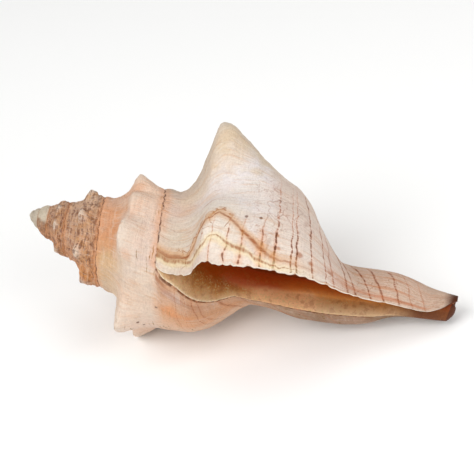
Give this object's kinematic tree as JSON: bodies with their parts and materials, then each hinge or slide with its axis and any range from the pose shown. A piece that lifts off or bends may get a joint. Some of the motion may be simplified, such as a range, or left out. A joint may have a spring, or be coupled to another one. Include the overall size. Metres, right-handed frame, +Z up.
{
  "type": "conch shell",
  "caption": "Knobbed, striped spiral sea shell with a tall spire, a flared open aperture and a long open siphonal canal, lying on its side.",
  "frame": {"origin": "bottom centre of the shell's bounding box, as it lies on a surface", "axes": "+X from the apex to the end of the siphonal canal, +Z up, the aperture opens towards -Y"},
  "size_m": [0.1484, 0.0704, 0.0661],
  "materials": {
    "shell": "satin lime, cream with brown spiral lines"
  },
  "bodies": {
    "root": {"shell": "shell"}
  },
  "joints": []
}
